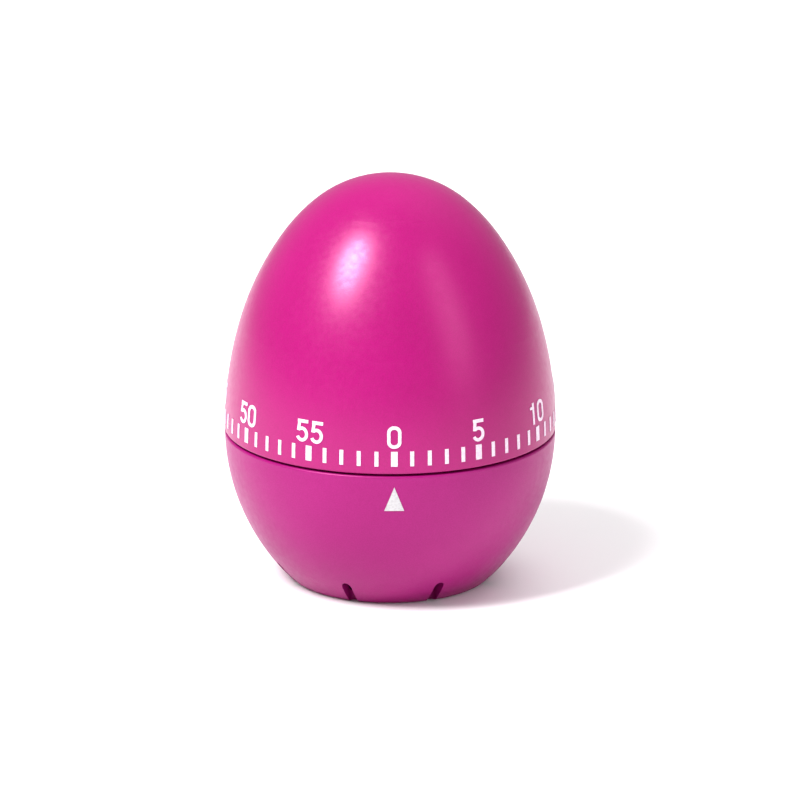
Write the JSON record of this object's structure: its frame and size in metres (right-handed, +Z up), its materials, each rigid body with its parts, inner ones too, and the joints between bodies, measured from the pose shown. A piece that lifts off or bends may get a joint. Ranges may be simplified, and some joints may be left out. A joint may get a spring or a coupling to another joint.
{
  "type": "kitchen timer",
  "caption": "Egg-shaped wind-up kitchen timer: the upper shell is a minute dial that turns on the base, over a spring clockwork with bell and hammer.",
  "frame": {"origin": "centre of the flat foot, on the surface the timer stands on", "axes": "+Z up along the dial's axis, -Y towards the pointer, +X to the right of someone who faces the pointer"},
  "size_m": [0.0602, 0.0602, 0.0746],
  "materials": {
    "dial_paint": "satin metallic",
    "base_paint": "satin metallic",
    "dial_ink": "pad-printed ink, satin",
    "pointer_ink": "pad-printed ink, satin",
    "plate_brass": "rolled, brushed",
    "pillar_brass": "turned",
    "wheel_brass": "stamped, fine grain",
    "bush_brass": "turned",
    "hammer_brass": "turned",
    "bell_steel": "nickel plated, drawn",
    "screw_steel": "zinc plated",
    "arbor_steel": "turned and polished",
    "lever_steel": "stamped",
    "spring_steel": "spring temper",
    "mainspring_steel": "blued spring steel",
    "balance_steel": "stamped",
    "barrel_steel": "nickel plated",
    "cam_plastic": "moulded acetal",
    "fibre": "vulcanised fibre"
  },
  "bodies": {
    "base": {"base_shell": "base_paint", "pointer_mark": "pointer_ink", "bell": "bell_steel", "bell_washer": "fibre", "bell_screw": "screw_steel", "lower_plate": "plate_brass", "upper_plate": "plate_brass", "plate_pillars": "pillar_brass", "pillar_screws": "screw_steel", "movement_screws": "screw_steel", "spindle_bush": "bush_brass", "stop_pin": "arbor_steel", "lever_stud": "arbor_steel", "lever_clip": "spring_steel", "lever_spring_stud": "arbor_steel", "lever_spring": "spring_steel"},
    "dial": {"dial_shell": "dial_paint", "minute_marks": "dial_ink", "minute_numerals": "dial_ink", "main_spindle": "arbor_steel", "main_wheel": "wheel_brass", "clutch_spring": "spring_steel", "clutch_collar": "bush_brass", "alarm_cam": "cam_plastic"},
    "second_arbor": {"second_pinion": "arbor_steel", "second_wheel": "wheel_brass"},
    "third_arbor": {"third_pinion": "arbor_steel", "third_wheel": "wheel_brass"},
    "escape_arbor": {"escape_pinion": "arbor_steel", "escape_wheel": "wheel_brass"},
    "balance": {"balance_arbor": "arbor_steel", "balance_bar": "balance_steel", "pallet_fork": "wheel_brass", "pallet_pins": "arbor_steel"},
    "barrel": {"spring_barrel": "barrel_steel", "barrel_cover": "barrel_steel", "mainspring": "mainspring_steel"},
    "alarm_arbor": {"alarm_pinion": "arbor_steel", "alarm_wheel": "lever_steel"},
    "hammer": {"hammer_arbor": "arbor_steel", "hammer_anchor": "lever_steel", "anchor_pin_pair": "arbor_steel", "hammer_arm": "spring_steel", "hammer_head": "hammer_brass", "hammer_stop_arm": "lever_steel"},
    "release_lever": {"release_lever": "lever_steel"}
  },
  "joints": [
    {"name": "dial_turn", "type": "hinge", "parent": "base", "child": "dial", "pos_m": [0, 0, 0.0285], "axis": [0, 0, 1], "range_deg": [-348, 0]},
    {"name": "second_turn", "type": "hinge", "parent": "base", "child": "second_arbor", "pos_m": [0, 0.01225, 0.0215], "axis": [0, 0, 1], "range_deg": [-30, 2130]},
    {"name": "third_turn", "type": "hinge", "parent": "base", "child": "third_arbor", "pos_m": [-0.00956, 0.0079, 0.0215], "axis": [0, 0, 1], "range_deg": [-12780, 180]},
    {"name": "escape_turn", "type": "hinge", "parent": "base", "child": "escape_arbor", "pos_m": [-0.016, -0.00039, 0.0215], "axis": [0, 0, 1], "range_deg": [-360, 75600]},
    {"name": "balance_swing", "type": "hinge", "parent": "base", "child": "balance", "pos_m": [-0.01452, -0.00672, 0.0215], "axis": [0, 0, 1], "range_deg": [-12, 12]},
    {"name": "barrel_turn", "type": "hinge", "parent": "base", "child": "barrel", "pos_m": [0, 0, 0.019], "axis": [0, 0, 1], "range_deg": [-300, 0]},
    {"name": "alarm_turn", "type": "hinge", "parent": "base", "child": "alarm_arbor", "pos_m": [0.01061, -0.00613, 0.0215], "axis": [0, 0, 1], "range_deg": [-30, 1830]},
    {"name": "hammer_swing", "type": "hinge", "parent": "base", "child": "hammer", "pos_m": [0.01081, -0.01312, 0.0215], "axis": [0, 0, 1], "range_deg": [-8, 8]},
    {"name": "release_lever_drop", "type": "hinge", "parent": "base", "child": "release_lever", "pos_m": [0.0015, -0.0125, 0.0295], "axis": [0, 0, -1], "range_deg": [0, 7]}
  ],
  "couplings": [
    {"joint": "second_turn", "follows": "dial_turn", "ratio": -6},
    {"joint": "third_turn", "follows": "dial_turn", "ratio": 36},
    {"joint": "escape_turn", "follows": "dial_turn", "ratio": -216},
    {"joint": "alarm_turn", "follows": "barrel_turn", "ratio": -6}
  ]
}
